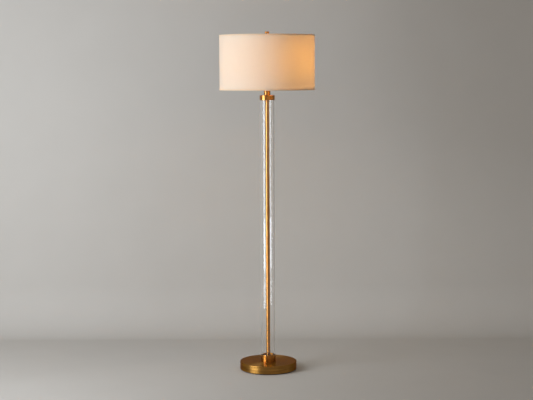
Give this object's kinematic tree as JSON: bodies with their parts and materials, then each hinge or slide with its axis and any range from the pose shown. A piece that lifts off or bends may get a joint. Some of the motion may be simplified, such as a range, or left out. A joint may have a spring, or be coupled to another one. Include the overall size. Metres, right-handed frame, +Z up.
{
  "type": "column floor lamp",
  "caption": "Floor lamp with a weighted disc base, a clear glass tube column round a brass rod, and a linen drum shade on a harp with a turned finial.",
  "frame": {"origin": "middle of the base's underside, on the floor", "axes": "+Z up along the column; -Y is the front, where the switch knob points; +Y is the back, where the cord leaves; the harp's legs stand at -X and +X"},
  "size_m": [0.4319, 0.432, 1.55],
  "materials": {
    "felt": "pressed wool felt",
    "brushed_brass": "spun, satin brushed in fine rings, lacquered",
    "cast_iron": "black enamelled",
    "black_nylon": "satin moulded",
    "zinc_plated_steel": "zinc plated",
    "polished_brass": "turned and polished, lacquered",
    "clear_silicone": "clear",
    "clear_glass": "clear drawn tube, ground ends",
    "brass_plated_steel": "brass plated",
    "black_phenolic": "moulded",
    "bare_brass": "drawn, bare",
    "insulating_fibre": "pressed paper fibre",
    "black_plastic": "satin moulded",
    "black_insulator": "vitrified",
    "nickel_plated_cap": "nickel plated",
    "white_plastic": "satin moulded",
    "led_board": "white solder mask",
    "frosted_diffuser": "frosted",
    "brass_plated_wire": "brass plated",
    "natural_linen": "plain woven linen",
    "styrene_liner": "translucent white sheet",
    "linen_tape": "folded linen tape"
  },
  "bodies": {
    "stand": {"base_pad": "felt", "base_cover": "brushed_brass", "base_weight": "cast_iron", "cord_bushing": "black_nylon", "lower_locknut": "zinc_plated_steel", "pipe_washer": "zinc_plated_steel", "lamp_pipe": "zinc_plated_steel", "lower_collar": "polished_brass", "lower_gasket": "clear_silicone", "glass_column": "clear_glass", "centre_rod": "polished_brass", "upper_gasket": "clear_silicone", "upper_cap": "polished_brass", "neck": "polished_brass", "harp_saddle": "brass_plated_steel", "upper_locknut": "zinc_plated_steel", "socket_cap": "polished_brass", "socket_body": "black_phenolic", "terminal_screws": "polished_brass", "thread_shell": "bare_brass", "centre_contact": "bare_brass", "socket_liner": "insulating_fibre", "socket_shell": "polished_brass"},
    "switch": {"switch_shaft": "zinc_plated_steel", "switch_knob": "black_plastic"},
    "bulb": {"bulb_contact": "black_insulator", "bulb_cap": "nickel_plated_cap", "bulb_housing": "white_plastic", "led_board": "led_board", "bulb_diffuser": "frosted_diffuser"},
    "harp": {"harp_wire": "brass_plated_steel", "harp_stud": "polished_brass"},
    "left_ferrule": {"left_ferrule": "polished_brass"},
    "right_ferrule": {"right_ferrule": "polished_brass"},
    "shade": {"shade_spider": "brass_plated_wire", "shade_bottom_ring": "brass_plated_wire", "shade_fabric": "natural_linen", "shade_liner": "styrene_liner", "shade_top_trim": "linen_tape", "shade_bottom_trim": "linen_tape"},
    "finial": {"finial": "polished_brass"}
  },
  "joints": [
    {"name": "harp_lift", "type": "slide", "parent": "stand", "child": "harp", "axis": [0, 0, 1], "range_m": [0, 0.03]},
    {"name": "shade_swivel", "type": "hinge", "parent": "harp", "child": "shade", "pos_m": [0, 0, 1.513], "axis": [0, 0, 1], "continuous": true},
    {"name": "finial_turn", "type": "hinge", "parent": "harp", "child": "finial", "pos_m": [0, 0, 1.515], "axis": [0, 0, 1], "continuous": true},
    {"name": "left_ferrule_slide", "type": "slide", "parent": "harp", "child": "left_ferrule", "axis": [0, 0, 1], "range_m": [0, 0.012]},
    {"name": "right_ferrule_slide", "type": "slide", "parent": "harp", "child": "right_ferrule", "axis": [0, 0, 1], "range_m": [0, 0.012]},
    {"name": "switch_turn", "type": "hinge", "parent": "stand", "child": "switch", "pos_m": [0, 0, 1.3216], "axis": [0, -1, 0], "continuous": true},
    {"name": "bulb_turn", "type": "hinge", "parent": "stand", "child": "bulb", "pos_m": [0, 0, 1.3304], "axis": [0, 0, 1], "continuous": true}
  ]
}
